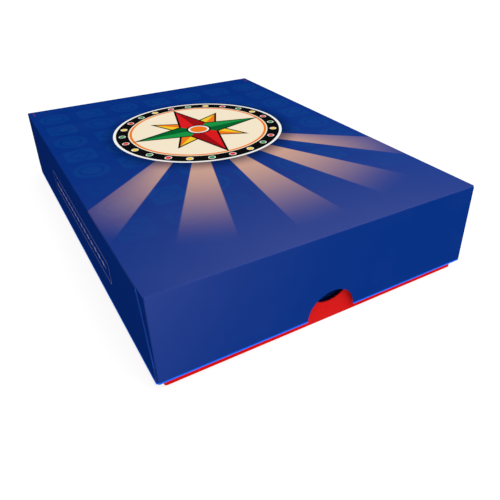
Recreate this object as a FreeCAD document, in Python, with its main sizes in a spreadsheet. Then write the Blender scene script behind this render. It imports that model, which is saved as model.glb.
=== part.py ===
"""A card game: decks of cards and a rule booklet in a folded carton tray with a lift-off carton lid.

Millimetres. +Z is up and the origin is at the middle of the tray's underside. The box is 150 wide along X,
210 long along Y and 43.1 high, with the front at -Y. It is designed from the inside out: the cards set the
insert, the insert sets the tray and the tray sets the lid, each with a named clearance.
"""

import FreeCAD
import Part
import os
import re
import Sketcher
from FreeCAD import Placement, Rotation, Vector

# Driving dimensions, in millimetres or as counts. Each becomes a cell of the sheet under the same name.
SIZES = {
    # One card, and how many of each there are
    "card_long": 126.0,
    "card_short": 88.0,
    "card_board": 0.41,
    "situation_count": 72,
    "colour_count": 24,
    # Folded insert: a platform on two legs with two wells that have flaps folded down into them
    "insert_board": 0.5,
    "card_play": 1.0,
    "side_rail": 6.7,
    "end_ledge": 10.9,
    "rib_flat": 0.4,
    "deck_recess": 2.48,
    "flap_lift": 0.3,
    "flap_relief": 0.5,
    # Rule booklet: folded cover, nested folded sheets and two wire staples in the spine
    "booklet_play_side": 1.7,
    "booklet_play_end": 2.0,
    "cover_paper": 0.3,
    "page_paper": 0.12,
    "page_sheets": 6,
    "sheet_gap": 0.02,
    "fold_gap": 0.25,
    "staple_crown": 12.0,
    "staple_wire": 0.45,
    "staple_leg": 3.2,
    "staple_tip": 4.0,
    "staple_pitch": 90.0,
    # Carton board and its folds, shared by the lid and the tray
    "board": 0.5,
    "fold_inside": 0.3,
    "glue_flap": 18.0,
    "flap_taper": 4.0,
    "bevel_top": 6.7,
    "bevel_kink": 8.0,
    # Tray, lid and thumb openings
    "insert_play": 0.3,
    "headroom": 7.32,
    "lid_play_side": 2.0,
    "lid_play_end": 1.8,
    "reveal": 4.6,
    "notch_radius": 11.5,
    "notch_sill": 9.5,
    # How far a cutting outline runs past the material that it cuts
    "overcut": 2.0,
}

# The colour packs in the front well, from the lowest to the highest
COLOURS = ("red", "yellow", "green")

# Two coordinates nearer than this, in millimetres, are the same
SAME = 1e-4

# What follows from the driving dimensions, as formulas of the sheet's cells
DECK_HEIGHT = f"(max(situation_count; {len(COLOURS)} * colour_count) * card_board)"
COLOUR_HEIGHT = "(colour_count * card_board)"
WELL_WIDE = "(card_long + 2 * card_play)"
WELL_DEEP = "(card_short + 2 * card_play)"
FOLD = "(fold_inside + board)"
INSERT_FOLD = "(fold_inside + insert_board)"
MID_RIB = f"(2 * {INSERT_FOLD} + rib_flat)"
WELL_CENTRE = f"(({MID_RIB} + {WELL_DEEP}) / 2)"
INSERT_WIDTH = f"({WELL_WIDE} + 2 * side_rail)"
INSERT_LENGTH = f"(2 * {WELL_DEEP} + {MID_RIB} + 2 * end_ledge)"
INSERT_HEIGHT = f"({DECK_HEIGHT} + deck_recess)"
BOOKLET_WIDE = f"({INSERT_WIDTH} - 2 * booklet_play_side)"
BOOKLET_TALL = f"(2 * {WELL_DEEP} + {MID_RIB} - 2 * booklet_play_end)"
PAGES_THICK = "(fold_gap + page_sheets * (page_paper + sheet_gap))"
BOOKLET_THICK = f"(2 * ({PAGES_THICK} + cover_paper))"
TRAY_WIDTH = f"({INSERT_WIDTH} + 2 * insert_play + 4 * board)"
TRAY_LENGTH = f"({INSERT_LENGTH} + 2 * insert_play + 2 * board)"
TRAY_DEPTH = f"(board + {INSERT_HEIGHT} + {BOOKLET_THICK} + headroom)"
LID_WIDTH = f"({TRAY_WIDTH} + 2 * lid_play_side + 4 * board)"
LID_LENGTH = f"({TRAY_LENGTH} + 2 * lid_play_end + 2 * board)"
LID_DEPTH = f"({TRAY_DEPTH} - reveal + board)"
BOOKLET_MIDDLE = f"(board + {INSERT_HEIGHT} + {BOOKLET_THICK} / 2)"

document = FreeCAD.newDocument("card_game")


# The sheet and the bindings to it


def make_sheet():
    """The spreadsheet of driving dimensions: a name in column A, its number in column B under that alias."""
    cells = document.addObject("Spreadsheet::Sheet", "Sizes")
    for row, (name, value) in enumerate(SIZES.items(), start=1):
        cells.set(f"A{row}", name)
        cells.set(f"B{row}", str(value))
        cells.setAlias(f"B{row}", name)
    document.recompute()
    return cells


sheet = make_sheet()


def formula(text):
    """A formula with each driving dimension's name turned into a reference to its cell."""
    return re.sub(r"[a-z_]+", lambda word: "Sizes." + word[0] if word[0] in SIZES else word[0], text)


def value_of(text):
    """The number that a formula gives now."""
    return float(sheet.evalExpression(formula(text)))


def bind(thing, **sizes):
    """Ties properties of an object to formulas."""
    for name, text in sizes.items():
        thing.setExpression(name, formula(text))


def place(thing, x="0", y="0", z="0", turn=None):
    """Puts an object at a place given by formulas, after an optional turn."""
    if turn:
        thing.Placement = Placement(Vector(), turn)
    for axis, text in (("x", x), ("y", y), ("z", z)):
        thing.setExpression(f"Placement.Base.{axis}", formula(text))


# Sketches and features of a body


def sketch_on(body, plane, name, offset="0"):
    """A sketch on one of the body's own origin planes, moved along its normal by a formula."""
    support = next(item for item in body.Origin.OriginFeatures if item.Role == plane)
    sketch = body.newObject("Sketcher::SketchObject", name)
    sketch.AttachmentSupport = [(support, "")]
    sketch.MapMode = "FlatFace"
    sketch.setExpression("AttachmentOffset.Base.z", formula(offset))
    return sketch


def pin(sketch, geometry, point, **spots):
    """Fixes a point of a sketch by formulas for its x, its y or both."""
    for axis, text in spots.items():
        kind = "DistanceX" if axis == "x" else "DistanceY"
        limit = sketch.addConstraint(Sketcher.Constraint(kind, geometry, point, value_of(text)))
        sketch.setExpression(f"Constraints[{limit}]", formula(text))


def outline(sketch, corners, arcs=None):
    """Draws a closed outline through corners given as pairs of formulas.

    arcs maps the number of a corner to the arc that leaves it, as (centre x, centre y, the free coordinate of
    the centre, whether it runs anticlockwise). Every other side is straight.
    """
    arcs = arcs or {}
    first = sketch.GeometryCount
    spots = [Vector(value_of(x), value_of(y), 0) for x, y in corners]
    for number, start in enumerate(spots):
        end = spots[(number + 1) % len(spots)]
        if number in arcs:
            centre_x, centre_y, _, anticlockwise = arcs[number]
            centre = Vector(value_of(centre_x), value_of(centre_y), 0)
            low, high = (start, end) if anticlockwise else (end, start)
            angles = [(spot - centre).getAngle(Vector(1, 0, 0)) for spot in (low, high)]
            angles = [-turn if spot.y < centre.y else turn for turn, spot in zip(angles, (low, high))]
            circle = Part.Circle(centre, Vector(0, 0, 1), (start - centre).Length)
            sketch.addGeometry(Part.ArcOfCircle(circle, *angles))
        else:
            sketch.addGeometry(Part.LineSegment(start, end))
    for number, (x, y) in enumerate(corners):
        after = (number + 1) % len(corners)
        backwards = number in arcs and not arcs[number][3]
        next_backwards = after in arcs and not arcs[after][3]
        ends = (1 if backwards else 2, 2 if next_backwards else 1)
        sketch.addConstraint(Sketcher.Constraint("Coincident", first + number, ends[0], first + after, ends[1]))
        pin(sketch, first + number, 2 if backwards else 1, x=x, y=y)
        if number in arcs:
            centre_x, centre_y, free, _ = arcs[number]
            pin(sketch, first + number, 3, **{free: centre_x if free == "x" else centre_y})


def rectangle(sketch, left, right, low, high):
    """Draws a rectangle between formulas for its sides."""
    outline(sketch, [(left, low), (right, low), (right, high), (left, high)])


def centred_rectangle(sketch, wide, tall):
    """Draws a rectangle about the sketch's origin."""
    rectangle(sketch, f"-{wide} / 2", f"{wide} / 2", f"-{tall} / 2", f"{tall} / 2")


def thumb_outline(sketch, centre_height):
    """Draws a thumb opening: a half round whose two sides run straight out past the open edge at height 0."""
    corners = [
        ("notch_radius", "-overcut"),
        ("notch_radius", centre_height),
        ("-notch_radius", centre_height),
        ("-notch_radius", "-overcut"),
    ]
    outline(sketch, corners, {1: ("0", centre_height, "y", True)})


def pad(body, sketch, name, length, both_ways=False):
    """Extrudes a sketch along its normal, or half to each side."""
    feature = body.newObject("PartDesign::Pad", name)
    feature.Profile = sketch
    feature.Midplane = both_ways
    bind(feature, Length=length)
    document.recompute()
    return feature


def pocket(body, sketch, name, depth=None):
    """Cuts a sketch against its normal to a depth, or right through to both sides, and checks that it cut."""
    before = body.Shape.Volume
    feature = body.newObject("PartDesign::Pocket", name)
    feature.Profile = sketch
    if depth is None:
        feature.Type = "ThroughAll"
        feature.Midplane = True
    else:
        bind(feature, Length=depth)
    document.recompute()
    if body.Shape.Volume >= before:
        raise RuntimeError(f"{name} cut nothing")
    return feature


def mirrored(body, feature, name, plane):
    """Repeats a feature on the other side of one of the body's origin planes."""
    copy = body.newObject("PartDesign::Mirrored", name)
    copy.Originals = [feature]
    copy.MirrorPlane = (next(item for item in body.Origin.OriginFeatures if item.Role == plane), [""])
    body.Tip = copy
    document.recompute()
    return copy


def fillet(body, base, name, radius, wanted):
    """Rounds the edges of a feature that a test picks by their two end points."""
    names = []
    for number, edge in enumerate(base.Shape.Edges, start=1):
        ends = [vertex.Point for vertex in edge.Vertexes]
        if len(ends) == 2 and wanted(*ends):
            names.append(f"Edge{number}")
    feature = body.newObject("PartDesign::Fillet", name)
    feature.Base = (base, names)
    bind(feature, Radius=radius)
    document.recompute()
    return feature


def hollow(body, base, name, wall, is_open):
    """Shells a solid inwards to a wall thickness and leaves out the faces that a test picks by their normal."""
    names = []
    for number, face in enumerate(base.Shape.Faces, start=1):
        if is_open(face.normalAt(0, 0)) and isinstance(face.Surface, Part.Plane):
            names.append(f"Face{number}")
    feature = body.newObject("PartDesign::Thickness", name)
    feature.Base = (base, names)
    feature.Reversed = True
    bind(feature, Value=wall)
    document.recompute()
    return feature


def near(one, other):
    """Whether two coordinates are the same."""
    return abs(one - other) < SAME


def new_body(label):
    """A body whose label names the sub-part."""
    body = document.addObject("PartDesign::Body", label)
    body.Label = label
    return body


# Lid and tray: two glued carton blanks of the same construction


def carton(label, width, length, depth, notch_centre):
    """A folded carton with its open rim at height 0 and its flat panel on top.

    The end walls fold round the corners into glue flaps, which lie against the inside of the side walls. The
    side walls' ends are bevelled, so a strip of each flap shows beside the corner.
    """
    body = new_body(label)
    inner_width = f"({width} - 2 * board)"
    base = sketch_on(body, "XY_Plane", label + "_plan")
    centred_rectangle(base, inner_width, length)
    block = pad(body, base, label + "_block", depth)
    top = value_of(depth)

    def is_fold(start, finish):
        upright = near(start.x, finish.x) and near(start.y, finish.y)
        return upright or (near(start.z, top) and near(finish.z, top))

    folds = fillet(body, block, label + "_end_folds", FOLD, is_fold)
    hollow(body, folds, label + "_shell", "board", lambda normal: near(normal.z, -1))
    cut_glue_flaps(body, label, length, depth)
    walls = sketch_on(body, "XZ_Plane", label + "_side_profile")
    channel_outline(walls, width, depth, "board", FOLD)
    pad(body, walls, label + "_side_walls", f"{length} - 2 * {FOLD}", both_ways=True)
    bevel_side_walls(body, label, width, length, depth)
    notch = sketch_on(body, "XZ_Plane", label + "_thumb_outline")
    thumb_outline(notch, notch_centre)
    pocket(body, notch, label + "_thumb_openings")
    return body


def cut_glue_flaps(body, label, length, depth):
    """Cuts the inner side walls away between the glue flaps and tapers the flaps to their ends."""
    root = f"({length} / 2 - {FOLD})"
    tip = f"({length} / 2 - glue_flap)"
    shelf = f"({root} - bevel_top)"
    head = f"({depth} - {FOLD})"
    half = [
        (root, "-overcut"),
        (root, "0"),
        (tip, "flap_taper"),
        (tip, f"{head} - flap_taper"),
        (shelf, head),
    ]
    mirror = [(f"-{y}", z) for y, z in reversed(half)]
    gap = sketch_on(body, "YZ_Plane", label + "_flap_gap")
    outline(gap, half + mirror)
    pocket(body, gap, label + "_glue_flaps")


def bevel_side_walls(body, label, width, length, depth):
    """Cuts the side walls' ends so that they lean back from the corners above a short upright stretch."""
    foot = f"({length} / 2 - {FOLD})"
    head = f"({length} / 2 - bevel_top)"
    beyond = f"({length} / 2 + overcut)"
    above = f"({depth} + overcut)"
    ends = sketch_on(body, "YZ_Plane", label + "_bevel_outline", f"{width} / 2")
    for sign in ("", "-"):
        corners = [(foot, "bevel_kink"), (beyond, "bevel_kink"), (beyond, above), (head, above), (head, depth)]
        outline(ends, [(f"{sign}{y}", z) for y, z in corners])
    right = pocket(body, ends, label + "_right_bevels", "board")
    mirrored(body, right, label + "_left_bevels", "YZ_Plane")


def channel_outline(sketch, width, height, board, fold):
    """Draws a panel with a wall folded down at each side, as seen from the front, open at height 0."""
    side = f"({width} / 2)"
    within = f"({side} - {board})"
    bend = f"({side} - {fold})"
    shoulder = f"({height} - {fold})"
    under = f"({height} - {board})"
    corners = [
        (f"-{side}", "0"),
        (f"-{side}", shoulder),
        (f"-{bend}", height),
        (bend, height),
        (side, shoulder),
        (side, "0"),
        (within, "0"),
        (within, shoulder),
        (bend, under),
        (f"-{bend}", under),
        (f"-{within}", shoulder),
        (f"-{within}", "0"),
    ]
    folds = {
        1: (f"-{bend}", shoulder, "x", False),
        3: (bend, shoulder, "x", False),
        7: (bend, shoulder, "x", True),
        9: (f"-{bend}", shoulder, "x", True),
    }
    outline(sketch, corners, folds)


def make_tray():
    """The tray stands on its panel, with its rim up and a deep thumb slot down each end wall."""
    body = carton("tray", TRAY_WIDTH, TRAY_LENGTH, TRAY_DEPTH, f"({TRAY_DEPTH} - notch_sill - notch_radius)")
    place(body, z=TRAY_DEPTH, turn=Rotation(Vector(1, 0, 0), 180))
    return body


def make_lid():
    """The lid's panel rests on the tray's rim, and a half-round thumb notch is cut in each end wall."""
    body = carton("lid", LID_WIDTH, LID_LENGTH, LID_DEPTH, "0")
    place(body, z="reveal")
    return body


# Insert: a folded platform with two wells for the decks


def make_insert():
    """A platform on two long legs. The board of each well is folded down as a flap at its front and back."""
    body = new_body("card_insert")
    profile = sketch_on(body, "XZ_Plane", "platform_profile")
    channel_outline(profile, INSERT_WIDTH, INSERT_HEIGHT, "insert_board", INSERT_FOLD)
    pad(body, profile, "platform", INSERT_LENGTH, both_ways=True)
    windows = sketch_on(body, "XY_Plane", "well_windows")
    for sign in ("-", ""):
        front, back = well_edges(sign)
        half_wide = f"({WELL_WIDE} / 2)"
        rectangle(windows, f"-{half_wide}", half_wide, f"{front} - {INSERT_FOLD}", f"{back} + {INSERT_FOLD}")
    pocket(body, windows, "wells")
    add_well_flaps(body)
    slot = sketch_on(body, "XZ_Plane", "finger_slot_outline", f"{INSERT_LENGTH} / 2")
    finger_outline(slot)
    front_slot = pocket(body, slot, "front_finger_slot", "end_ledge + overcut")
    mirrored(body, front_slot, "back_finger_slot", "XZ_Plane")
    place(body, z="board")
    return body


def well_edges(sign):
    """The front and back edges of the well at the front, for "-", or at the back, for an empty sign."""
    near_edge = f"({sign}{MID_RIB} / 2)"
    far_edge = f"({sign}({MID_RIB} / 2 + {WELL_DEEP}))"
    return (far_edge, near_edge) if sign else (near_edge, far_edge)


def add_well_flaps(body):
    """Folds a flap down from the front edge and the back edge of each well."""
    profile = sketch_on(body, "YZ_Plane", "flap_profiles")
    for sign in ("-", ""):
        front, back = well_edges(sign)
        flap_outline(profile, front, "-")
        flap_outline(profile, back, "+")
    return pad(body, profile, "well_flaps", f"{WELL_WIDE} - 2 * flap_relief", both_ways=True)


def flap_outline(sketch, edge, away):
    """Draws a flap and its fold from the side. away is the sign of the direction from the well to the platform."""
    back = f"({edge} {away} insert_board)"
    bend = f"({edge} {away} {INSERT_FOLD})"
    lap = f"({edge} {away} {MID_RIB} / 2)"
    shoulder = f"({INSERT_HEIGHT} - {INSERT_FOLD})"
    under = f"({INSERT_HEIGHT} - insert_board)"
    corners = [
        (lap, INSERT_HEIGHT),
        (bend, INSERT_HEIGHT),
        (edge, shoulder),
        (edge, "flap_lift"),
        (back, "flap_lift"),
        (back, shoulder),
        (bend, under),
        (lap, under),
    ]
    clockwise = away == "-"
    outline(sketch, corners, {1: (bend, shoulder, "x", not clockwise), 5: (bend, shoulder, "x", clockwise)})


def finger_outline(sketch):
    """Draws the finger slot through a ledge, in line with the tray's thumb slot and as low as its sill."""
    sill = "(notch_sill - board)"
    shoulder = f"({sill} + notch_radius)"
    above = f"({INSERT_HEIGHT} + overcut)"
    corners = [
        ("-notch_radius", above),
        ("-notch_radius", shoulder),
        ("notch_radius", shoulder),
        ("notch_radius", above),
    ]
    outline(sketch, corners, {1: ("0", shoulder, "y", True)})


# Cards


def make_card():
    """One card: a rectangle of board cut square, lying with its long side along X."""
    body = new_body("card")
    plan = sketch_on(body, "XY_Plane", "card_plan")
    centred_rectangle(plan, "card_long", "card_short")
    pad(body, plan, "card_blank", "card_board")
    return body


def make_deck(label, card, count, y, z):
    """A deck of separate cards stacked face to face."""
    cards = []
    for number in range(count):
        copy = document.addObject("App::Link", f"{label}_{number + 1:02d}")
        copy.LinkedObject = card
        copy.setExpression("Placement.Base.z", formula(f"{number} * card_board"))
        cards.append(copy)
    deck = document.addObject("Part::Compound", label)
    deck.Label = label
    deck.Links = cards
    place(deck, y=y, z=z)
    return deck


def make_decks():
    """The situation cards in the back well, and the colour packs on each other in the front well."""
    card = make_card()
    decks = [make_deck("situation_cards", card, SIZES["situation_count"], WELL_CENTRE, "board")]
    for level, colour in enumerate(COLOURS):
        seat = f"board + {level} * {COLOUR_HEIGHT}"
        decks.append(make_deck(f"{colour}_cards", card, SIZES["colour_count"], f"-{WELL_CENTRE}", seat))
    return decks


# Rule booklet


def folded_sheet(label, inside, paper):
    """A sheet folded once round the spine, with its leaves flat and its fore edges flush.

    inside is the half height of what lies in the fold. The spine is at -X and the fold is about height 0.
    """
    body = new_body(label)
    profile = sketch_on(body, "XZ_Plane", label + "_profile")
    outside = f"({inside} + {paper})"
    fore_edge = f"({BOOKLET_WIDE} / 2)"
    spine = f"(-{BOOKLET_WIDE} / 2 + {PAGES_THICK} + cover_paper)"
    corners = [
        (spine, outside),
        (spine, f"-{outside}"),
        (fore_edge, f"-{outside}"),
        (fore_edge, f"-{inside}"),
        (spine, f"-{inside}"),
        (spine, inside),
        (fore_edge, inside),
        (fore_edge, outside),
    ]
    outline(profile, corners, {0: (spine, "0", "x", True), 4: (spine, "0", "x", False)})
    pad(body, profile, label + "_leaves", BOOKLET_TALL, both_ways=True)
    place(body, z=BOOKLET_MIDDLE)
    return body


def make_booklet():
    """A stapled booklet that lies on the insert's rails: a cover, nested sheets and two staples in the fold."""
    pieces = [folded_sheet("booklet_cover", PAGES_THICK, "cover_paper")]
    for number in range(SIZES["page_sheets"]):
        inside = f"(fold_gap + {number} * (page_paper + sheet_gap))"
        pieces.append(folded_sheet(f"booklet_sheet_{number + 1}", inside, "page_paper"))
    pieces.append(make_staple("front_staple", "-staple_pitch / 2"))
    pieces.append(make_staple("back_staple", "staple_pitch / 2"))
    return pieces


def make_staple(label, y):
    """A wire staple: a crown behind the spine, two legs through the fold and tips turned in between the leaves."""
    body = new_body(label)
    plan = sketch_on(body, "XY_Plane", label + "_plan", "-staple_wire / 2")
    spine = f"(-{BOOKLET_WIDE} / 2)"
    crown = f"({spine} - staple_wire)"
    tip_front = f"({spine} + staple_leg)"
    tip_back = f"({spine} + staple_leg - staple_wire)"
    outer = "(staple_crown / 2)"
    inner = "(staple_crown / 2 - staple_wire)"
    tip = "(staple_crown / 2 - staple_tip)"
    half = [
        (crown, outer),
        (tip_front, outer),
        (tip_front, tip),
        (tip_back, tip),
        (tip_back, inner),
        (spine, inner),
    ]
    mirror = [(x, f"-{y}") for x, y in reversed(half)]
    outline(plan, half + mirror)
    pad(body, plan, label + "_wire", "staple_wire")
    place(body, y=y, z=BOOKLET_MIDDLE)
    return body


def check(parts):
    """Stops the build if any object failed or a sub-part's shape is missing or broken."""
    failed = [item.Name for item in document.Objects if {"Invalid", "Error"} & set(item.State)]
    failed += [part.Label for part in parts if part.Shape.isNull() or not part.Shape.isValid()]
    if failed:
        raise RuntimeError(f"these failed: {failed}")


def main():
    """Builds every sub-part, checks them all and writes each to its own file."""
    parts = [make_tray(), make_lid(), make_insert(), *make_decks(), *make_booklet()]
    document.recompute()
    check(parts)
    os.makedirs("parts", exist_ok=True)
    for part in parts:
        part.Shape.exportStep(f"parts/{part.Label}.step")
        box = part.Shape.BoundBox
        print(
            f"{part.Label}: {len(part.Shape.Solids)} solids, {part.Shape.Volume:.1f} mm3, "
            f"x {box.XMin:.2f} to {box.XMax:.2f}, y {box.YMin:.2f} to {box.YMax:.2f}, "
            f"z {box.ZMin:.2f} to {box.ZMax:.2f}"
        )


main()
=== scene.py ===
"""Looks of a card game: a printed carton box, a folded insert, decks of cards and a rule booklet."""

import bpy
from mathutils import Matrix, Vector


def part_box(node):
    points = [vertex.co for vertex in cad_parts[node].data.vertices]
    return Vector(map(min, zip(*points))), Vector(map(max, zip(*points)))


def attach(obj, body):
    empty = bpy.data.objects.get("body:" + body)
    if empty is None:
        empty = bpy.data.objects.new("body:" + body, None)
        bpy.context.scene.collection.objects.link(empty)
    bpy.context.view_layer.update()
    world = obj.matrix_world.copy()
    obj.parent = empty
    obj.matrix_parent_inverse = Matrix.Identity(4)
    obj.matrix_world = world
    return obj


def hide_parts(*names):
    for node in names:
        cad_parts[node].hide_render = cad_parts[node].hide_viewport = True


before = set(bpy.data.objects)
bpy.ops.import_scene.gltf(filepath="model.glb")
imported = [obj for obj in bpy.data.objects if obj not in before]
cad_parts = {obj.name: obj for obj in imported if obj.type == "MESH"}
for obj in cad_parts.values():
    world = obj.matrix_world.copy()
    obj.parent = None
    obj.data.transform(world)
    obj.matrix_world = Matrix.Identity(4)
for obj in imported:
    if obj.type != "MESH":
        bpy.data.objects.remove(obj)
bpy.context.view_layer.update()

import math
import random

import bmesh
import bpy
from mathutils import Matrix, Vector

MM = 0.001

# Light that falls on the lid's panel, as a multiple of what shows a white surface as plain white
STUDIO_LIGHT = 1.25


def srgb(red, green, blue):
    """A colour from its usual 0 to 255 values, as the linear values that a shader takes."""
    shares = [value / 255 for value in (red, green, blue)]
    return (*[((v + 0.055) / 1.055) ** 2.4 if v > 0.04045 else v / 12.92 for v in shares], 1.0)


def ink(red, green, blue):
    """The ink that shows as this colour on a panel that faces up in the studio's light."""
    return (*[value / STUDIO_LIGHT for value in srgb(red, green, blue)[:3]], 1.0)


NAVY = ink(9, 50, 132)
BRIGHT_NAVY = ink(26, 68, 160)
# Painted shade: the navy of the side walls, darker than the panel's
SHADED_SIDE_NAVY = ink(8, 44, 122)
VIOLET_BLUE = ink(60, 77, 150)
PATTERN_BLUE = ink(16, 84, 152)
LIGHT_BLUE = ink(120, 160, 230)
DEEP_NAVY = ink(3, 18, 62)
RIM_BLUE = ink(24, 108, 255)
SIDE_RIM_BLUE = ink(20, 128, 255)
CUT_BLUE = ink(32, 72, 168)
LILAC = ink(158, 158, 198)
BOX_RED = ink(217, 29, 29)
# Painted light: a brighter red for the tray's foot, where the lid shades it
LIT_FOOT_RED = ink(234, 21, 14)
TICK_RED = ink(138, 44, 66)
BLACK = ink(14, 14, 16)
WHITE = ink(250, 249, 245)
CREAM = ink(250, 236, 208)
PEACH = ink(232, 182, 150)
RED = ink(222, 30, 34)
LIGHT_RED = ink(246, 92, 80)
DARK_RED = ink(158, 16, 22)
GREEN = ink(28, 150, 70)
LIGHT_GREEN = ink(76, 190, 104)
CARD_GREEN = ink(28, 124, 52)
DARK_GREEN = ink(6, 100, 46)
YELLOW = ink(252, 206, 44)
LIGHT_YELLOW = ink(255, 228, 116)
CARD_YELLOW = ink(236, 198, 32)
AMBER = ink(236, 164, 20)
ORANGE = ink(244, 124, 32)
RAW_BOARD = ink(226, 222, 212)
KRAFT_EDGE = ink(204, 190, 178)
PAGE_WHITE = ink(240, 239, 234)
STEEL = srgb(200, 202, 206)
DARK_STEEL = srgb(140, 142, 148)


# Fields: values that vary over a surface

class Field:
    """A value that varies over a surface: an output of a node, with arithmetic that adds Math nodes."""

    def __init__(self, tree, socket):
        self.tree = tree
        self.socket = socket

    def apply(self, operation, *others):
        node = self.tree.nodes.new("ShaderNodeMath")
        node.operation = operation
        for socket, value in zip(node.inputs, (self, *others)):
            feed(self.tree, socket, value)
        return Field(self.tree, node.outputs[0])

    def __add__(self, other):
        return self.apply("ADD", other)

    __radd__ = __add__

    def __mul__(self, other):
        return self.apply("MULTIPLY", other)

    __rmul__ = __mul__

    def __sub__(self, other):
        return self.apply("SUBTRACT", other)

    def __rsub__(self, other):
        return self.apply("MULTIPLY_ADD", -1.0, other)

    def __truediv__(self, other):
        return self.apply("DIVIDE", other)

    def __abs__(self):
        return self.apply("ABSOLUTE")

    def above(self, level):
        return self.apply("GREATER_THAN", level)

    def below(self, level):
        return self.apply("LESS_THAN", level)

    def least(self, other):
        return self.apply("MINIMUM", other)

    def most(self, other):
        return self.apply("MAXIMUM", other)

    def wrapped(self, half):
        """The value brought into the range from -half to half."""
        return self.apply("WRAP", half, -half)

    def rising(self, start, end):
        """0 at start and before it, 1 at end and past it, with an even way between."""
        return ((self - start) / (end - start)).least(1.0).most(0.0)

    def eased(self, start, end):
        """0 at start and before it, 1 at end and past it, with a smooth way between."""
        node = self.tree.nodes.new("ShaderNodeMapRange")
        node.interpolation_type = "SMOOTHSTEP"
        for label, value in (("Value", self), ("From Min", start), ("From Max", end)):
            feed(self.tree, node.inputs[label], value)
        return Field(self.tree, node.outputs[0])


def feed(tree, socket, value):
    """Gives a socket a field or a plain value."""
    if isinstance(value, Field):
        tree.links.new(value.socket, socket)
    else:
        socket.default_value = value


def joined(across, along):
    """Two values as one vector."""
    node = across.tree.nodes.new("ShaderNodeCombineXYZ")
    feed(across.tree, node.inputs["X"], across)
    feed(across.tree, node.inputs["Y"], along)
    return Field(across.tree, node.outputs[0])


def length(across, along):
    node = across.tree.nodes.new("ShaderNodeVectorMath")
    node.operation = "LENGTH"
    feed(across.tree, node.inputs[0], joined(across, along))
    return Field(across.tree, node.outputs["Value"])


def parts(vector):
    """The three parts of a vector field."""
    node = vector.tree.nodes.new("ShaderNodeSeparateXYZ")
    feed(vector.tree, node.inputs[0], vector)
    return [Field(vector.tree, socket) for socket in node.outputs]


def over(tree, base, colour, mask):
    """A base colour with another colour laid over it where the mask is 1."""
    node = tree.nodes.new("ShaderNodeMix")
    node.data_type = "RGBA"
    for place, value in ((0, mask), (6, base), (7, colour)):
        feed(tree, node.inputs[place], value)
    return Field(tree, node.outputs[2])


def bands(field, steps):
    """Flat bands of colour, each from its own start, given in rising order from 0."""
    node = field.tree.nodes.new("ShaderNodeValToRGB")
    node.color_ramp.interpolation = "CONSTANT"
    stops = node.color_ramp.elements
    stops.remove(stops[1])
    for number, (start, colour) in enumerate(steps):
        stop = stops.new(start) if number else stops[0]
        stop.position = start
        stop.color = colour
    feed(field.tree, node.inputs[0], field)
    return Field(field.tree, node.outputs["Color"])


def noise(point, size, detail):
    """Cloudy noise from 0 to 1 with spots of about this size."""
    node = point.tree.nodes.new("ShaderNodeTexNoise")
    feed(point.tree, node.inputs["Vector"], point)
    scale = 1 / size if isinstance(size, float) else size.apply("POWER", -1.0)
    feed(point.tree, node.inputs["Scale"], scale)
    node.inputs["Detail"].default_value = detail
    return Field(point.tree, node.outputs["Fac"])


def rounded_box(across, along, half_across, half_along, radius):
    """Distance out of a rectangle with round corners, less than 0 inside it."""
    beyond_across = abs(across) - (half_across - radius)
    beyond_along = abs(along) - (half_along - radius)
    outside = length(beyond_across.most(0.0), beyond_along.most(0.0))
    return outside + beyond_across.most(beyond_along).least(0.0) - radius


class Surface:
    """Places on a piece in millimetres of the part's frame, and the ways that its faces look."""

    def __init__(self, tree):
        coordinates = tree.nodes.new("ShaderNodeTexCoord")
        scale = tree.nodes.new("ShaderNodeVectorMath")
        scale.operation = "SCALE"
        scale.inputs["Scale"].default_value = 1 / MM
        tree.links.new(coordinates.outputs["Object"], scale.inputs[0])
        self.point = Field(tree, scale.outputs[0])
        self.facing = Field(tree, coordinates.outputs["Normal"])
        self.x, self.y, self.z = parts(self.point)
        self.facing_x, self.facing_y, self.facing_z = parts(self.facing)


# Node groups that several materials share

SOCKET_KINDS = {1: "NodeSocketFloat", 3: "NodeSocketVector", 4: "NodeSocketColor"}
ORIGIN = (0.0, 0.0, 0.0)


class Group:
    """A node group while it is made: named inputs with their usual values, and named outputs."""

    def __init__(self, name, inputs, outputs):
        self.tree = bpy.data.node_groups.new(name, "ShaderNodeTree")
        for label, usual in inputs.items():
            size = len(usual) if isinstance(usual, tuple) else 1
            socket = self.tree.interface.new_socket(label, in_out="INPUT", socket_type=SOCKET_KINDS[size])
            socket.default_value = usual
        for label, size in outputs.items():
            self.tree.interface.new_socket(label, in_out="OUTPUT", socket_type=SOCKET_KINDS[size])
        self.entry = self.tree.nodes.new("NodeGroupInput")
        self.exit = self.tree.nodes.new("NodeGroupOutput")

    def given(self, label):
        return Field(self.tree, self.entry.outputs[label])

    def put_out(self, label, value):
        feed(self.tree, self.exit.inputs[label], value)


def placed(tree, name, **values):
    """Puts a group into a material with its own values and gives its outputs as fields."""
    node = tree.nodes.new("ShaderNodeGroup")
    node.node_tree = bpy.data.node_groups[name]
    for label, value in values.items():
        feed(tree, node.inputs[label.replace("_", " ").title()], value)
    return {socket.name: Field(tree, socket) for socket in node.outputs}


def make_board_grain():
    """The fine fibre of paper, as a height, and the slow mottle of its tone."""
    group = Group("board_grain", {"Point": ORIGIN, "Fibre Size": 0.4, "Mottle Size": 14.0},
                  {"Height": 1, "Mottle": 1})
    point = group.given("Point")
    group.put_out("Height", noise(point, group.given("Fibre Size"), 3.0))
    group.put_out("Mottle", noise(point, group.given("Mottle Size"), 2.0))


RUB_SPOT_SIZE = 5.0
RUB_SPOT_EDGE = (0.42, 0.66)


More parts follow.
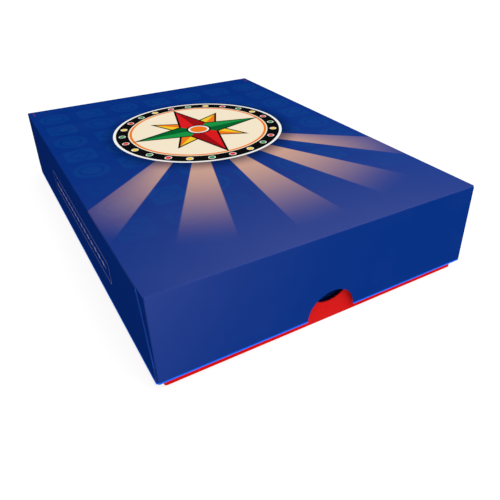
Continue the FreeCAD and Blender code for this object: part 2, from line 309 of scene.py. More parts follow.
def make_fold_wear_and_shade():
    """Painted shade along a fold, darkest at its middle, and the thin spots that handling rubs on it."""
    group = Group("fold_wear_and_shade", {"Point": ORIGIN, "Fold Distance": 1.0, "Reach": 0.6, "Fold Shade Strength": 0.4,
                                "Rub": 0.08}, {"Painted Fold Shade": 1, "Rubbed": 1})
    near = 1.0 - (group.given("Fold Distance") / group.given("Reach")).least(1.0).most(0.0)
    spots = noise(group.given("Point"), RUB_SPOT_SIZE, 4.0).eased(*RUB_SPOT_EDGE)
    # Painted shade along the fold, strongest at its middle
    group.put_out("Painted Fold Shade", near * group.given("Fold Shade Strength"))
    group.put_out("Rubbed", near * spots * group.given("Rub"))


# A face counts as facing one way from this part of its direction on: of a fold, of the lid's print, else
FOLD_WAY, PRINT_WAY, FACE_WAY = 0.4, 0.6, 0.5

# A wall can have a glue flap behind it, so its layers are counted in boards
SIDE_LAYERS = 2.6
END_LAYERS = 1.6


def make_carton_faces():
    """Tells the outside of a folded carton from its inside. What is neither is the board's cut edge."""
    group = Group("carton_faces", {"Point": ORIGIN, "Facing": ORIGIN, "Half Width": 1.0, "Half Length": 1.0,
                                   "Panel Height": 1.0, "Panel Side": 1.0, "Board": 0.5},
                  {"Outside": 1, "Inside": 1, "Fold Distance": 1})
    x, y, z = parts(group.given("Point"))
    facing_x, facing_y, facing_z = parts(group.given("Facing"))
    side, end = group.given("Half Width") - abs(x), group.given("Half Length") - abs(y)
    panel = (group.given("Panel Height") - z) * group.given("Panel Side")
    ways = (facing_x * x.apply("SIGN"), facing_y * y.apply("SIGN"), facing_z * group.given("Panel Side"))
    outside, inside = [], []
    for depth, way, layers in zip((side, end, panel), ways, (SIDE_LAYERS, END_LAYERS, END_LAYERS)):
        near = depth.below(group.given("Board") * layers)
        outside.append(near * way.above(FOLD_WAY))
        inside.append(near * way.below(-FOLD_WAY))
    group.put_out("Outside", outside[0].most(outside[1]).most(outside[2]))
    group.put_out("Inside", inside[0].most(inside[1]).most(inside[2]))
    group.put_out("Fold Distance", side.least(end).most(side.most(end).least(panel)))


def star(reach, angle, points, tip, waist):
    """Distance out of a star's outline, and the angle from the middle of its nearest point."""
    half = math.pi / points
    turn = angle.wrapped(half)
    waist_along, waist_across = waist * math.cos(half), waist * math.sin(half)
    edge = math.hypot(tip - waist_along, waist_across)
    along = (reach * turn.apply("COSINE") - tip) * (waist_across / edge)
    across = abs(reach * turn.apply("SINE")) * ((tip - waist_along) / edge)
    return along + across, turn


def lay_star(tree, colour, star_shape, light, dark):
    """A star with light and dark facets and a black outline."""
    outline = 0.012
    distance, turn = star_shape
    facets = over(tree, dark, light, turn.above(0.0))
    return over(tree, over(tree, colour, BLACK, distance.below(outline)), facets, distance.below(-outline))


# The medallion's rings and boss, each from its share of the radius, and its stars' tips and waists
DISC_BANDS = [(0.0, CREAM), (0.785, ORANGE), (0.81, CREAM), (0.825, BLACK), (0.968, WHITE)]
BOSS_BANDS = [(0.0, ORANGE), (0.10, WHITE), (0.125, BLACK)]
BOSS_REACH = 0.148
STAR_POINTS = 4
LONG_TIP, LONG_WAIST = 0.77, 0.24
SHORT_TIP, SHORT_WAIST = 0.60, 0.22


def make_star_medallion():
    """A round badge: a long and a short star on a cream disc, in a black ring set with coloured beads."""
    group = Group("star_medallion", {"X": 0.0, "Y": 0.0, "Radius": 1.0}, {"Colour": 4, "Mask": 1})
    tree = group.tree
    x, y = [group.given(label) / group.given("Radius") for label in ("X", "Y")]
    reach, angle = length(x, y), y.apply("ARCTAN2", x)
    short_star = star(reach, angle + math.pi / STAR_POINTS, STAR_POINTS, SHORT_TIP, SHORT_WAIST)
    colour = lay_star(tree, bands(reach, DISC_BANDS), short_star, YELLOW, ORANGE)
    upright = abs(y).above(abs(x))
    light, dark = over(tree, GREEN, RED, upright), over(tree, DARK_GREEN, DARK_RED, upright)
    colour = lay_star(tree, colour, star(reach, angle, STAR_POINTS, LONG_TIP, LONG_WAIST), light, dark)
    colour = over(tree, colour, bands(reach, BOSS_BANDS), reach.below(BOSS_REACH))
    colour = lay_beads(tree, colour, reach, angle)
    group.put_out("Colour", colour)
    group.put_out("Mask", reach.below(1.0))


def lay_beads(tree, colour, reach, angle):
    """A ring of beads, red, yellow and green in turn, each in a white circle."""
    count, ring, radius, line = 24, 0.896, 0.040, 0.009
    turn = angle.wrapped(math.pi / count)
    distance = length(reach * turn.apply("COSINE") - ring, reach * turn.apply("SINE"))
    number = ((angle / (2 * math.pi) + 0.5) * count + 0.5).apply("FLOOR")
    # A little is added so that rounding can't give a bead two colours
    third = (number / 3 + 0.01).apply("FRACT")
    fill = bands(third, [(0.0, RED), (0.3, YELLOW), (0.6, GREEN)])
    colour = over(tree, colour, WHITE, distance.below(radius))
    return over(tree, colour, fill, distance.below(radius - line))


# Sizes of the tokens as shares of the pitch
TOKEN_REACH = 0.40
TOKEN_LINE = 0.03
TILE_HALF, TILE_ROUND, TILE_LOZENGE = 0.36, 0.10, 0.26
COUNTER_RING = 0.25


def make_token_repeat():
    """Rows of square tiles and round counters in turn, each with a line left out, and their middles."""
    group = Group("token_repeat", {"X": 0.0, "Y": 0.0, "Pitch": 15.0},
                  {"Mask": 1, "Middle X": 1, "Middle Y": 1})
    pitch = group.given("Pitch")
    across, along = group.given("X") / pitch, group.given("Y") / pitch
    column, row = (across + 0.5).apply("FLOOR"), (along + 0.5).apply("FLOOR")
    round_one = (row + column).apply("FLOORED_MODULO", 2.0)
    u, v = across - column, along - row
    tile = rounded_box(u, v, TILE_HALF, TILE_HALF, TILE_ROUND).below(0.0)
    tile = tile - abs(abs(u) + abs(v) - TILE_LOZENGE).below(TOKEN_LINE)
    reach = length(u, v)
    counter = reach.below(TOKEN_REACH) - abs(reach - COUNTER_RING).below(TOKEN_LINE)
    group.put_out("Mask", tile + (counter - tile) * round_one)
    group.put_out("Middle X", column * pitch)
    group.put_out("Middle Y", row * pitch)


def whole_tokens(tokens, half_across, half_along, pitch):
    """1 on the tokens that lie whole in a rectangle of these half sizes, 0 on those that its edge cuts."""
    across = abs(tokens["Middle X"]).below(half_across - TOKEN_REACH * pitch)
    return across * abs(tokens["Middle Y"]).below(half_along - TOKEN_REACH * pitch)


# Paper and board materials

LIGHT_SPOTS = 0.15
ROUGHNESS_SPREAD = 0.16
TOOTH_DEPTH = 0.05 * MM
PLAIN_BLACK = (0.0, 0.0, 0.0, 1.0)
PLAIN_WHITE = (1.0, 1.0, 1.0, 1.0)


def paper_material(name, paint, fibre=0.35, tooth=0.12, roughness=0.5, shine=0.0, mottle=0.04):
    """A paper or board material: its paint, and the mottle, roughness and tooth of its fibres."""
    material = bpy.data.materials.new(name)
    material.use_nodes = True
    tree = material.node_tree
    shader = tree.nodes["Principled BSDF"]
    surface = Surface(tree)
    grain = placed(tree, "board_grain", point=surface.point, fibre_size=fibre)
    shade = (grain["Mottle"] - 0.5) * mottle + (grain["Height"] - 0.5) * (mottle / 2)
    tone = over(tree, paint(tree, surface), PLAIN_BLACK, shade.most(0.0))
    tone = over(tree, tone, PLAIN_WHITE, (shade * -LIGHT_SPOTS).most(0.0))
    feed(tree, shader.inputs["Base Color"], tone)
    feed(tree, shader.inputs["Roughness"], (grain["Mottle"] - 0.5) * ROUGHNESS_SPREAD + roughness)
    bump = tree.nodes.new("ShaderNodeBump")
    bump.inputs["Strength"].default_value = tooth
    bump.inputs["Distance"].default_value = TOOTH_DEPTH
    feed(tree, bump.inputs["Height"], grain["Height"])
    tree.links.new(bump.outputs["Normal"], shader.inputs["Normal"])
    shader.inputs["Specular IOR Level"].default_value = shine
    return material


def carton_faces(tree, surface, node, panel_side):
    """Where a carton shows its outside, its inside and its folds, from its own box in the frame."""
    low, high = [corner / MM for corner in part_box(node)]
    panel_height = high.z if panel_side > 0 else low.z
    return placed(tree, "carton_faces", point=surface.point, facing=surface.facing, half_width=high.x,
                  half_length=high.y, panel_height=panel_height, panel_side=panel_side)


# Where the tones of the lid's ground start and end in mm, how steeply they rise and how strong they get.
# The violet-blue towards the front is a painted sheen, and the darker side walls are painted shade
SHEEN_POWER = 3.0
PANEL_SHEEN_FADE, PANEL_SHEEN_STRENGTH = (60.0, -105.0), 0.9
PANEL_SHEEN_MIDDLE, PANEL_SHEEN_SPREAD = 5.0, 118.0
RIGHT_FADE, RIGHT_FRONT_FADE, RIGHT_STRENGTH = (10.0, 75.0), (80.0, -60.0), 0.5
WALL_SHEEN_FADE, WALL_SHEEN_RISE = (60.0, -75.0), (0.0, 43.0)
WALL_TOP_SHEEN, WALL_SHEEN_STRENGTH = 0.38, 0.18
SIDE_SHADE_FADE, SIDE_SHADE_STRENGTH = (-105.0, 40.0), 0.18


def lid_navy(tree, surface):
    """The lid's navy, with painted shade that makes the side walls darker and darkest towards their back.
    """
    side = abs(surface.facing_x).above(FACE_WAY)
    ground = over(tree, NAVY, SHADED_SIDE_NAVY, side)
    # Painted shade, deepening towards the back of the side walls
    return over(tree, ground, DEEP_NAVY, surface.y.rising(*SIDE_SHADE_FADE) * side * SIDE_SHADE_STRENGTH)


def lay_panel_tones(tree, ground, surface):
    """Clearer blue at the panel's right, and a painted sheen of violet-blue towards its front."""
    panel = surface.facing_z.above(PRINT_WAY)
    right_fade = surface.x.rising(*RIGHT_FADE) * surface.y.rising(*RIGHT_FRONT_FADE) * RIGHT_STRENGTH
    ground = over(tree, ground, BRIGHT_NAVY, right_fade * panel)
    strength = PANEL_SHEEN_STRENGTH - ((surface.x - PANEL_SHEEN_MIDDLE) / PANEL_SHEEN_SPREAD).apply("POWER", 2.0)
    front_sheen = surface.y.rising(*PANEL_SHEEN_FADE).apply("POWER", SHEEN_POWER) * strength
    return over(tree, ground, VIOLET_BLUE, front_sheen * panel)


def lid_ground(tree, surface):
    """The lid's navy with the tones of its panel, and a painted sheen of violet-blue at the left of its
    front wall.
    """
    ground = lay_panel_tones(tree, lid_navy(tree, surface), surface)
    strength = surface.z.rising(*WALL_SHEEN_RISE) * WALL_TOP_SHEEN + WALL_SHEEN_STRENGTH
    # Painted sheen: violet-blue at the left of the front wall, stronger towards its top
    fade = surface.x.rising(*WALL_SHEEN_FADE).apply("POWER", SHEEN_POWER) * strength
    return over(tree, ground, VIOLET_BLUE, fade * surface.facing_y.below(-PRINT_WAY))


TOKEN_PITCH = 21.0
LID_MARGIN = 2.0
TOKEN_GROUP_SIZE = 45.0
TOKEN_GROUP_EDGE = (0.28, 0.42)
TOKEN_FRONT_FADE = (-90.0, -40.0)
TOKEN_STRENGTH = 0.2


def lay_lid_tokens(tree, ground, surface, high):
    """Faint tiles and counters in loose groups on the lid's panel, fading out towards its front edge."""
    tokens = placed(tree, "token_repeat", x=surface.x, y=surface.y, pitch=TOKEN_PITCH)
    groups = noise(joined(tokens["Middle X"], tokens["Middle Y"]), TOKEN_GROUP_SIZE, 1.0)
    whole = whole_tokens(tokens, high.x - LID_MARGIN, high.y - LID_MARGIN, TOKEN_PITCH)
    shown = groups.eased(*TOKEN_GROUP_EDGE) * whole * tokens["Middle Y"].rising(*TOKEN_FRONT_FADE)
    mask = tokens["Mask"] * shown * surface.facing_z.above(PRINT_WAY)
    return over(tree, ground, PATTERN_BLUE, mask * TOKEN_STRENGTH)


BADGE_X, BADGE_Y, BADGE_RADIUS = 2.0, 24.0, 46.0

# Rays all round the badge, of which those towards the front show
RAYS = 16
RAY_EDGE = (math.pi / 31, math.pi / 34)
RAY_FADE = (122.0, 44.0)
RAY_FRONT = (-0.45, -0.85)
RAY_STRENGTH = 0.82
SHADOW_FORWARD = 3.0
SHADOW_FADE = (BADGE_RADIUS + 9.0, BADGE_RADIUS - 4.0)
SHADOW_STRENGTH = 0.75


def lay_lid_badge(tree, ground, surface):
    """The medallion on the lid's panel with the rays and the soft shadow behind it."""
    across, along = surface.x - BADGE_X, surface.y - BADGE_Y
    reach, angle = length(across, along), along.apply("ARCTAN2", across)
    panel = surface.facing_z.above(PRINT_WAY)
    ray = abs(angle.wrapped(math.pi / RAYS)).eased(*RAY_EDGE)
    forward = (along / reach).eased(*RAY_FRONT) * RAY_STRENGTH
    ground = over(tree, ground, PEACH, ray * reach.eased(*RAY_FADE) * forward * panel)
    shadow = length(across, along + SHADOW_FORWARD).eased(*SHADOW_FADE) * SHADOW_STRENGTH
    ground = over(tree, ground, DEEP_NAVY, shadow * panel)
    badge = placed(tree, "star_medallion", x=across, y=along, radius=BADGE_RADIUS)
    return over(tree, ground, badge["Colour"], badge["Mask"] * panel)


TICK_X, TICK_HALF_WIDTH, TICK_LENGTH = 71.7, 0.21, 9.0
TICK_STRENGTH = 0.9


def lay_lid_ticks(tree, ground, surface, half_length):
    """The two short trim marks at the panel's back corners."""
    line = abs(abs(surface.x) - TICK_X).below(TICK_HALF_WIDTH)
    tick = line * surface.y.above(half_length - TICK_LENGTH) * surface.facing_z.above(PRINT_WAY)
    return over(tree, ground, TICK_RED, tick * TICK_STRENGTH)


STRIP_Y, STRIP_Z = -8.5, 24.5
STRIP_HALF_LENGTH, STRIP_HALF_HEIGHT, STRIP_ROUND = 51.5, 5.0, 1.6
STRIP_LINE, STRIP_LINE_STRENGTH = 0.22, 0.55
ROW_HALF_LENGTH, ROW_HALF_STEP, ROW_STRENGTH = 46.5, 3.0, 0.8
LOZENGE_HALF_LENGTH, LOZENGE_HALF_HEIGHT, DOT_RADIUS = 2.2, 1.15, 0.5


def lay_side_strip(tree, ground, surface):
    """The thin frame on the left wall with a row of lozenges and dots in it."""
    along, up = surface.y - STRIP_Y, surface.z - STRIP_Z
    outline = rounded_box(along, up, STRIP_HALF_LENGTH, STRIP_HALF_HEIGHT, STRIP_ROUND)
    frame_line = abs(outline).below(STRIP_LINE)
    step = along.wrapped(ROW_HALF_STEP)
    lozenge = (abs(step) / LOZENGE_HALF_LENGTH + abs(up) / LOZENGE_HALF_HEIGHT).below(1.0)
    dot = length(abs(step) - ROW_HALF_STEP, up).below(DOT_RADIUS)
    row = lozenge.most(dot) * abs(along).below(ROW_HALF_LENGTH)
    drawn = (frame_line * STRIP_LINE_STRENGTH).most(row * ROW_STRENGTH)
    return over(tree, ground, LILAC, drawn * surface.facing_x.below(-PRINT_WAY))


RIM_HEIGHT = 0.75
SIDE_RIM_HEIGHT = 1.2
FLAP_DEPTH = 0.3


def lay_lid_rim(tree, ground, surface, low, high):
    """The bright rim along the foot of the walls, higher on the side walls and not on their glue flaps."""
    side = abs(surface.facing_x).above(FACE_WAY) * abs(surface.x).above(high.x - FLAP_DEPTH)
    end = abs(surface.facing_y).above(FACE_WAY)
    rim_height = side * SIDE_RIM_HEIGHT + end * RIM_HEIGHT
    rim = over(tree, RIM_BLUE, SIDE_RIM_BLUE, side)
    return over(tree, ground, rim, (surface.z - low.z).below(rim_height))


def lid_paint(tree, surface):
    """Print on the lid's outside with a bright rim and painted shade on its folds, plain navy inside it and
    blue-stained cut edges.
    """
    low, high = [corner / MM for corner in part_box("lid")]
    faces = carton_faces(tree, surface, "lid", 1.0)
    print_colour = lay_lid_tokens(tree, lid_ground(tree, surface), surface, high)
    print_colour = lay_lid_badge(tree, print_colour, surface)
    print_colour = lay_lid_ticks(tree, print_colour, surface, high.y)
    print_colour = lay_side_strip(tree, print_colour, surface)
    print_colour = lay_lid_rim(tree, print_colour, surface, low, high)
    wear_and_shade = placed(tree, "fold_wear_and_shade", point=surface.point, fold_distance=faces["Fold Distance"])
    # Painted shade: deep navy along the folds
    print_colour = over(tree, print_colour, DEEP_NAVY, wear_and_shade["Painted Fold Shade"])
    print_colour = over(tree, print_colour, CUT_BLUE, wear_and_shade["Rubbed"])
    return over(tree, over(tree, CUT_BLUE, NAVY, faces["Inside"]), print_colour, faces["Outside"])


TRAY_RUB = 0.2
FOOT_LIGHT_FADE = (3.6, 1.4)
SLOT_FADE = (9.5, 12.5)


def tray_paint(tree, surface):
    """Red print outside with painted light, a brighter red, at the foot beside the thumb slots where the
    lid shades it, and painted shade on its folds; navy inside, dark red cut edges.
    """
    faces = carton_faces(tree, surface, "tray", -1.0)
    wear_and_shade = placed(tree, "fold_wear_and_shade", point=surface.point, fold_distance=faces["Fold Distance"],
                  rub=TRAY_RUB)
    # Painted light: brighter red at the foot where the lid shades it, not in the thumb slots
    foot = surface.z.eased(*FOOT_LIGHT_FADE) * abs(surface.x).eased(*SLOT_FADE)
    red = over(tree, BOX_RED, LIT_FOOT_RED, foot)
    # Painted shade: dark red along the folds; rubbed spots show the bare board
    outside = over(tree, over(tree, red, DARK_RED, wear_and_shade["Painted Fold Shade"]), RAW_BOARD, wear_and_shade["Rubbed"])
    return over(tree, over(tree, DARK_RED, NAVY, faces["Inside"]), outside, faces["Outside"])


END_FLAP_Y, END_FLAP_REACH = 91.2, 1.0
FLECK_SIZE, FLECK_EDGE, FLECK_STRENGTH = 1.1, (0.66, 0.74), 0.45


def insert_paint(tree, surface):
    """Uncoated greyboard with darker flecks, blue on the outer face of the flap at each end."""
    flecks = noise(surface.point, FLECK_SIZE, 2.0).eased(*FLECK_EDGE)
    greyboard = over(tree, RAW_BOARD, KRAFT_EDGE, flecks * FLECK_STRENGTH)
    outward = (surface.facing_y * surface.y.apply("SIGN")).above(FACE_WAY)
    end_flap = abs(abs(surface.y) - END_FLAP_Y).below(END_FLAP_REACH)
    return over(tree, greyboard, RIM_BLUE, outward * end_flap)


def place_material(node, material):
    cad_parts[node].material_slots[0].material = material


def paint_boxes():
    place_material("lid", paper_material("lid_print", lid_paint))
    place_material("tray", paper_material("tray_print", tray_paint))
    greyboard = paper_material("insert_greyboard", insert_paint, fibre=0.5, tooth=0.3, roughness=0.75,
                               shine=0.1, mottle=0.16)
    place_material("card_insert", greyboard)


# Decks of cards

# A card's corners, the share of its place in the deck that its board fills, and how far it lies out of line
CARD_CORNER = 0.8 * MM
CORNER_STEPS = 3
BOARD_SHARE = 0.92
JOG = 0.25 * MM
TURN = math.radians(0.1)
JOG_ROOM = 0.4 * MM

# A card's print in mm, and the tones of its cut edge
CARD_SHINE = 0.25
FRAME_ROUND = 8.0
CARD_FRAME = 5.6
CARD_MARGIN = 6.8
CARD_TOKEN_PITCH = 10.3
CARD_TOKEN_STRENGTH = 0.35
CARD_LINE = 0.35
GLOW_REACH, GLOW_STRENGTH = 1.1, 0.35
EDGE_SPOT_SIZE, EDGE_SPOT_EDGE, EDGE_STRENGTH = 0.9, (0.35, 0.75), 0.4

# The UV map for baking the cards' textures on, and the share of it that the cards' cut edges take
EXPORT_MAP = "OFBake"
STACK_EDGES, TOP_CARD_EDGES, MAP_GAP = 0.7, 0.03, 0.02

# Each deck's body, its record slot, its count of cards and the ink, token ink and light ink of its print
DECKS = {
    "situation_cards": ("situation_deck", "situation_card", 72, (NAVY, PATTERN_BLUE, LIGHT_BLUE)),
    "red_cards": ("red_deck", "red_card", 24, (RED, DARK_RED, LIGHT_RED)),
    "yellow_cards": ("yellow_deck", "yellow_card", 24, (CARD_YELLOW, AMBER, LIGHT_YELLOW)),
    "green_cards": ("green_deck", "green_card", 24, (CARD_GREEN, DARK_GREEN, LIGHT_GREEN)),
}


def card_outline(half_long, half_short):
    """A card's outline about its middle, anticlockwise, with a round at each corner."""
    points = []
    for number, (side, end) in enumerate(((1, 1), (-1, 1), (-1, -1), (1, -1))):
        corner = Vector((side * (half_long - CARD_CORNER), end * (half_short - CARD_CORNER), 0.0))
        for step in range(CORNER_STEPS + 1):
            angle = (number + step / CORNER_STEPS) * math.pi / 2
            points.append(corner + CARD_CORNER * Vector((math.cos(angle), math.sin(angle), 0.0)))
    return points


def turned(items):
    """The same items in the same order, but from the second one round to the first."""
    return items[1:] + items[:1]


def add_card(mesh, outline, place, thickness):
    """One card, its outline at a place with the thickness of its board. Gives its faces, edges last."""
    rise = Vector((0.0, 0.0, thickness))
    under = [mesh.verts.new(place @ point) for point in outline]
    upper = [mesh.verts.new(place @ (point + rise)) for point in outline]
    corners = zip(under, turned(under), turned(upper), upper)
    return [mesh.faces.new(vertices) for vertices in (list(reversed(under)), upper, *corners)]


def map_card(faces, layer, outline, face_share, strip):
    """Lays a card on the deck's map: its two faces on the lower share, its cut edge along a strip above."""
    half_long, half_short = max(point.x for point in outline), max(point.y for point in outline)
    spots = []
    for point in outline:
        across, along = 0.5 + point.x / half_long / 2, 0.5 + point.y / half_short / 2
        spots.append((across, along * face_share))
    for face, face_spots in zip(faces, (reversed(spots), spots)):
        for loop, spot in zip(face.loops, face_spots):
            loop[layer].uv = spot
    steps = [(far - near).length for near, far in zip(outline, turned(outline))]
    start, (low, high) = 0.0, strip
    for face, step in zip(faces[2:], steps):
        end = start + step / sum(steps)
        for loop, spot in zip(face.loops, ((start, low), (end, low), (end, high), (start, high))):
            loop[layer].uv = spot
        start = end


def deck_piece(name, node, places, material, edge_share):
    """Cards of one deck, at their places, as a piece that rides on the deck's body."""
    low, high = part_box(node)
    body, slot, count, _ = DECKS[node]
    outline = card_outline((high.x - low.x) / 2 - JOG_ROOM, (high.y - low.y) / 2 - JOG_ROOM)
    mesh = bmesh.new()
    layer = mesh.loops.layers.uv.new(EXPORT_MAP)
    for number, place in enumerate(places):
        faces = add_card(mesh, outline, place, BOARD_SHARE * (high.z - low.z) / count)
        strip = [1.0 - edge_share * (1.0 - (number + end) / len(places)) for end in (0, 1)]
        map_card(faces, layer, outline, 1.0 - edge_share - MAP_GAP, strip)
    data = bpy.data.meshes.new(name)
    mesh.to_mesh(data)
    mesh.free()
    data.materials.append(material)
    piece = bpy.data.objects.new(name, data)
    bpy.context.scene.collection.objects.link(piece)
    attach(piece, body)
    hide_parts(node)


def card_places(node, draw):
    """Where each card of a deck lies, from the bottom up, a little out of line with the others."""
    low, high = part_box(node)
    middle, count = (low + high) / 2, DECKS[node][2]
    step = (high.z - low.z) / count
    places = []
    for number in range(count):
        x, y = middle.x + draw.uniform(-JOG, JOG), middle.y + draw.uniform(-JOG, JOG)
        shift = Vector((x, y, low.z + number * step))
        places.append(Matrix.Translation(shift) @ Matrix.Rotation(draw.uniform(-TURN, TURN), 4, "Z"))
    return places


def make_card_print():
    """A card's print: a field of ink with a lighter middle, faint tokens and a line frame round them."""
    group = Group("card_print", {"X": 0.0, "Y": 0.0, "Half Long": 63.0, "Half Short": 44.0, "Ink": WHITE,
                                 "Token Ink": WHITE, "Light Ink": WHITE}, {"Colour": 4})
    tree, x, y = group.tree, group.given("X"), group.given("Y")
    half_long, half_short = group.given("Half Long"), group.given("Half Short")
    light = group.given("Light Ink")
    inset = rounded_box(x, y, half_long, half_short, FRAME_ROUND)
    tokens = placed(tree, "token_repeat", x=x, y=y, pitch=CARD_TOKEN_PITCH)
    whole = whole_tokens(tokens, half_long - CARD_MARGIN, half_short - CARD_MARGIN, CARD_TOKEN_PITCH)
    token_mask = tokens["Mask"] * whole * CARD_TOKEN_STRENGTH
    colour = over(tree, group.given("Ink"), group.given("Token Ink"), token_mask)
    glow = length(x / half_long, y / half_short).eased(GLOW_REACH, 0.0)
    colour = over(tree, colour, light, glow * GLOW_STRENGTH)
    colour = over(tree, colour, light, abs(inset + CARD_FRAME).below(CARD_LINE))
    group.put_out("Colour", colour)


def card_face(tree, surface, node):
    """The printed field of one deck's cards, and the place on it from the deck's middle."""
    low, high = [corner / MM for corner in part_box(node)]
    ink_colour, token_ink, light_ink = DECKS[node][3]
    middle = (low + high) / 2
    x, y = surface.x - middle.x, surface.y - middle.y
    return placed(tree, "card_print", x=x, y=y, half_long=high.x - middle.x, half_short=high.y - middle.y,
                  ink=ink_colour, token_ink=token_ink, light_ink=light_ink)["Colour"], x, y


SITUATION_BADGE = 27.0


def situation_card_paint(tree, surface):
    """A navy card with the medallion in its middle and white cut edges."""
    colour, x, y = card_face(tree, surface, "situation_cards")
    badge = placed(tree, "star_medallion", x=x, y=y, radius=SITUATION_BADGE)
    colour = over(tree, colour, badge["Colour"], badge["Mask"])
    return over(tree, PAGE_WHITE, colour, abs(surface.facing_z).above(FACE_WAY))


def colour_card_paint(node):
    """The paint of a plain colour card with white cut edges."""
    def paint(tree, surface):
        colour, _, _ = card_face(tree, surface, node)
        return over(tree, PAGE_WHITE, colour, abs(surface.facing_z).above(FACE_WAY))
    return paint


def card_stack_paint(node):
    """The paint of the cards under the top one: cut edges that differ a little, and plain inked faces."""
    def paint(tree, surface):
        tone = noise(surface.z, EDGE_SPOT_SIZE, 1.0).eased(*EDGE_SPOT_EDGE)
        edge = over(tree, PAGE_WHITE, KRAFT_EDGE, tone * EDGE_STRENGTH)
        return over(tree, edge, DECKS[node][3][0], abs(surface.facing_z).above(FACE_WAY))
    return paint


DECK_SEED = 4


def make_decks():
    draw = random.Random(DECK_SEED)
    for node in DECKS:
        places = card_places(node, draw)
        face = situation_card_paint if node == "situation_cards" else colour_card_paint(node)
        stack = paper_material(f"{node}_stock", card_stack_paint(node), shine=CARD_SHINE)
        top = paper_material(f"{node}_print", face, shine=CARD_SHINE)
        deck_piece(f"{node}_stack", node, places[:-1], stack, STACK_EDGES)
        deck_piece(f"{node}_top_card", node, places[-1:], top, TOP_CARD_EDGES)


# Rule booklet

COVER_PAPER = 0.3
COVER_BADGE_Y, COVER_BADGE_RADIUS = 22.0, 38.0
COVER_FRAME = 6.5
COVER_MARGIN = 8.0
COVER_TOKEN_PITCH = 9.5
COVER_TOKEN_STRENGTH = 0.35
COVER_LINE = 0.4
COVER_FADE_START, COVER_FADE_STRENGTH = 40.0, 0.7
PAGE_EDGE_FADE, PAGE_EDGE_STRENGTH = (0.2, 0.7), 0.25
WIRE_MARK_EDGE = (0.35, 0.75)
WIRE_ROUGHNESS, WIRE_ROUGHNESS_SPREAD = 0.18, 0.25
SHEETS = [f"booklet_sheet_{number}" for number in range(1, 7)]
STAPLES = ["front_staple", "back_staple"]


def cover_ground(tree, surface, low, high):
    """The cover's navy, violet-blue towards the front, with faint tokens and a yellow frame line."""
    fade = surface.y.rising(COVER_FADE_START, low.y) * COVER_FADE_STRENGTH
    tokens = placed(tree, "token_repeat", x=surface.x, y=surface.y, pitch=COVER_TOKEN_PITCH)
    whole = whole_tokens(tokens, high.x - COVER_MARGIN, high.y - COVER_MARGIN, COVER_TOKEN_PITCH)
    inset = rounded_box(surface.x, surface.y, high.x, high.y, FRAME_ROUND)
    colour = over(tree, NAVY, VIOLET_BLUE, fade)
    colour = over(tree, colour, PATTERN_BLUE, tokens["Mask"] * whole * COVER_TOKEN_STRENGTH)
    return over(tree, colour, YELLOW, abs(inset + COVER_FRAME).below(COVER_LINE))


def cover_paint(tree, surface):
    """The booklet's cover: print outside with the medallion in front, white inside and at its cut edges."""
    low, high = [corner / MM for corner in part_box("booklet_cover")]
    front = surface.facing_z.above(FOLD_WAY) * surface.z.above(high.z - COVER_PAPER / 2)
    back = surface.facing_z.below(-FOLD_WAY) * surface.z.below(low.z + COVER_PAPER / 2)
    spine = surface.facing_x.below(-FOLD_WAY) * surface.x.below(low.x + high.z - low.z)
    colour = cover_ground(tree, surface, low, high)
    badge = placed(tree, "star_medallion", x=surface.x, y=surface.y - COVER_BADGE_Y,
                   radius=COVER_BADGE_RADIUS)
    colour = over(tree, colour, badge["Colour"], badge["Mask"] * front)
    return over(tree, PAGE_WHITE, colour, front.most(back).most(spine))


def page_paint(tree, surface):
    """White page paper, a little greyer along its trimmed edges."""
    edge = 1.0 - abs(surface.facing_z).rising(*PAGE_EDGE_FADE)
    return over(tree, PAGE_WHITE, KRAFT_EDGE, edge * PAGE_EDGE_STRENGTH)


def drawn_wire():
    """Bright steel wire with fine marks of the die along it."""
    material = bpy.data.materials.new("drawn_staple_wire")
    material.use_nodes = True
    tree = material.node_tree
    shader = tree.nodes["Principled BSDF"]
    surface = Surface(tree)
    marks = placed(tree, "board_grain", point=surface.point, fibre_size=0.12, mottle_size=1.5)
    steel = over(tree, STEEL, DARK_STEEL, marks["Mottle"].eased(*WIRE_MARK_EDGE))
    feed(tree, shader.inputs["Base Color"], steel)
    feed(tree, shader.inputs["Roughness"], marks["Height"] * WIRE_ROUGHNESS_SPREAD + WIRE_ROUGHNESS)
    shader.inputs["Metallic"].default_value = 1.0
    return material


def paint_booklet():
    place_material("booklet_cover", paper_material("cover_print", cover_paint, shine=CARD_SHINE))
    pages = paper_material("page_paper", page_paint, fibre=0.3, tooth=0.2, roughness=0.7, shine=0.1,
                           mottle=0.06)
    for sheet in SHEETS:
        place_material(sheet, pages)
    wire = drawn_wire()
    for staple in STAPLES:
        place_material(staple, wire)


# Scene

FLOOR_SIZE, FLOOR_DROP = 40, 0.0001
FLOOR_GREY = (0.22, 0.22, 0.22, 1)
FLOOR_GLOW = 0.82


def make_floor():
    """A pale table that is lit from below as well, so that it shows only soft shadows."""
    bpy.ops.mesh.primitive_plane_add(size=FLOOR_SIZE, location=(0, 0, -FLOOR_DROP))
    floor = bpy.context.object
    floor.name = "floor"
    paper = bpy.data.materials.new("floor_paper")
    paper.use_nodes = True
    shader = paper.node_tree.nodes["Principled BSDF"]
    shader.inputs["Base Color"].default_value = FLOOR_GREY
    shader.inputs["Roughness"].default_value = 0.9
    shader.inputs["Emission Color"].default_value = PLAIN_WHITE
    shader.inputs["Emission Strength"].default_value = FLOOR_GLOW
    shader.inputs["Specular IOR Level"].default_value = 0.0
    floor.data.materials.append(paper)


KEY_FROM = Vector((0.12, -0.55, 0.95))
KEY_STRENGTH = 2.95
KEY_WIDTH = math.radians(55)
FILL_FROM = Vector((-0.42, -0.72, 0.55))
FILL_STRENGTH = 0.4
FILL_WIDTH = math.radians(20)


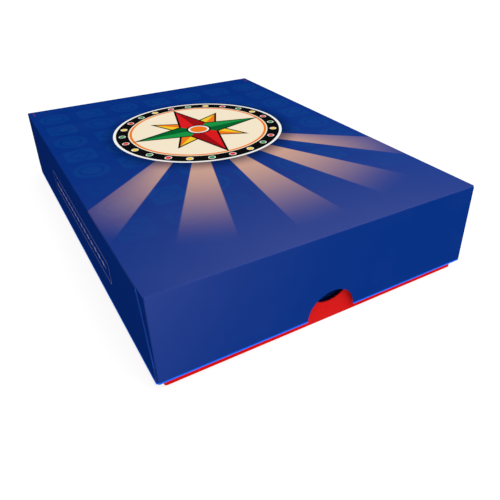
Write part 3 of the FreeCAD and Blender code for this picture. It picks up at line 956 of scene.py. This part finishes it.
def make_lamp(name, source, strength, width):
    """A soft light far off in one direction, as wide as it looks from the object."""
    data = bpy.data.lights.new(name, "SUN")
    data.energy = strength
    data.angle = width
    lamp = bpy.data.objects.new(name, data)
    lamp.rotation_mode = "QUATERNION"
    lamp.rotation_quaternion = source.to_track_quat("Z", "Y")
    bpy.context.scene.collection.objects.link(lamp)


SKY_LIGHT = 0.30


def make_surroundings():
    """Even light from all round, behind which the camera sees plain white."""
    world = bpy.data.worlds.new("studio")
    world.use_nodes = True
    tree = world.node_tree
    light = tree.nodes["Background"]
    light.inputs["Color"].default_value = PLAIN_WHITE
    light.inputs["Strength"].default_value = SKY_LIGHT
    white = tree.nodes.new("ShaderNodeBackground")
    white.inputs["Color"].default_value = PLAIN_WHITE
    seen = tree.nodes.new("ShaderNodeLightPath")
    choice = tree.nodes.new("ShaderNodeMixShader")
    tree.links.new(seen.outputs["Is Camera Ray"], choice.inputs[0])
    tree.links.new(light.outputs[0], choice.inputs[1])
    tree.links.new(white.outputs[0], choice.inputs[2])
    tree.links.new(choice.outputs[0], tree.nodes["World Output"].inputs["Surface"])
    bpy.context.scene.world = world


PHOTO_SIDE = 500
FOCAL_PIXELS = 515.8592
CENTRE_PIXEL = (271.0579, 242.3473)
CAMERA_PLACE = Vector((-0.1041082, -0.2332191, 0.1423161))
AZIMUTH, ELEVATION, ROLL = [math.radians(angle) for angle in (-30.5787, 32.2648, 0.5769)]
SENSOR = 36.0


def make_camera():
    data = bpy.data.cameras.new("camera")
    data.sensor_width = SENSOR
    data.lens = FOCAL_PIXELS / PHOTO_SIDE * SENSOR
    data.shift_x = 0.5 - CENTRE_PIXEL[0] / PHOTO_SIDE
    data.shift_y = CENTRE_PIXEL[1] / PHOTO_SIDE - 0.5
    data.clip_start = 0.01
    back = Vector((math.sin(AZIMUTH) * math.cos(ELEVATION), -math.cos(AZIMUTH) * math.cos(ELEVATION),
                   math.sin(ELEVATION)))
    level = (-back).cross(Vector((0, 0, 1))).normalized()
    rise = back.cross(level)
    right = math.cos(ROLL) * level - math.sin(ROLL) * rise
    up = math.sin(ROLL) * level + math.cos(ROLL) * rise
    camera = bpy.data.objects.new("camera", data)
    camera.matrix_world = Matrix.Translation(CAMERA_PLACE) @ Matrix((right, up, back)).transposed().to_4x4()
    bpy.context.scene.collection.objects.link(camera)
    bpy.context.scene.camera = camera


def make_groups():
    make_board_grain()
    make_fold_wear_and_shade()
    make_carton_faces()
    make_star_medallion()
    make_token_repeat()
    make_card_print()


make_groups()
paint_boxes()
make_decks()
paint_booklet()
make_floor()
make_lamp("key", KEY_FROM, KEY_STRENGTH, KEY_WIDTH)
make_lamp("fill", FILL_FROM, FILL_STRENGTH, FILL_WIDTH)
make_surroundings()
make_camera()
bpy.context.scene.view_settings.view_transform = "Standard"
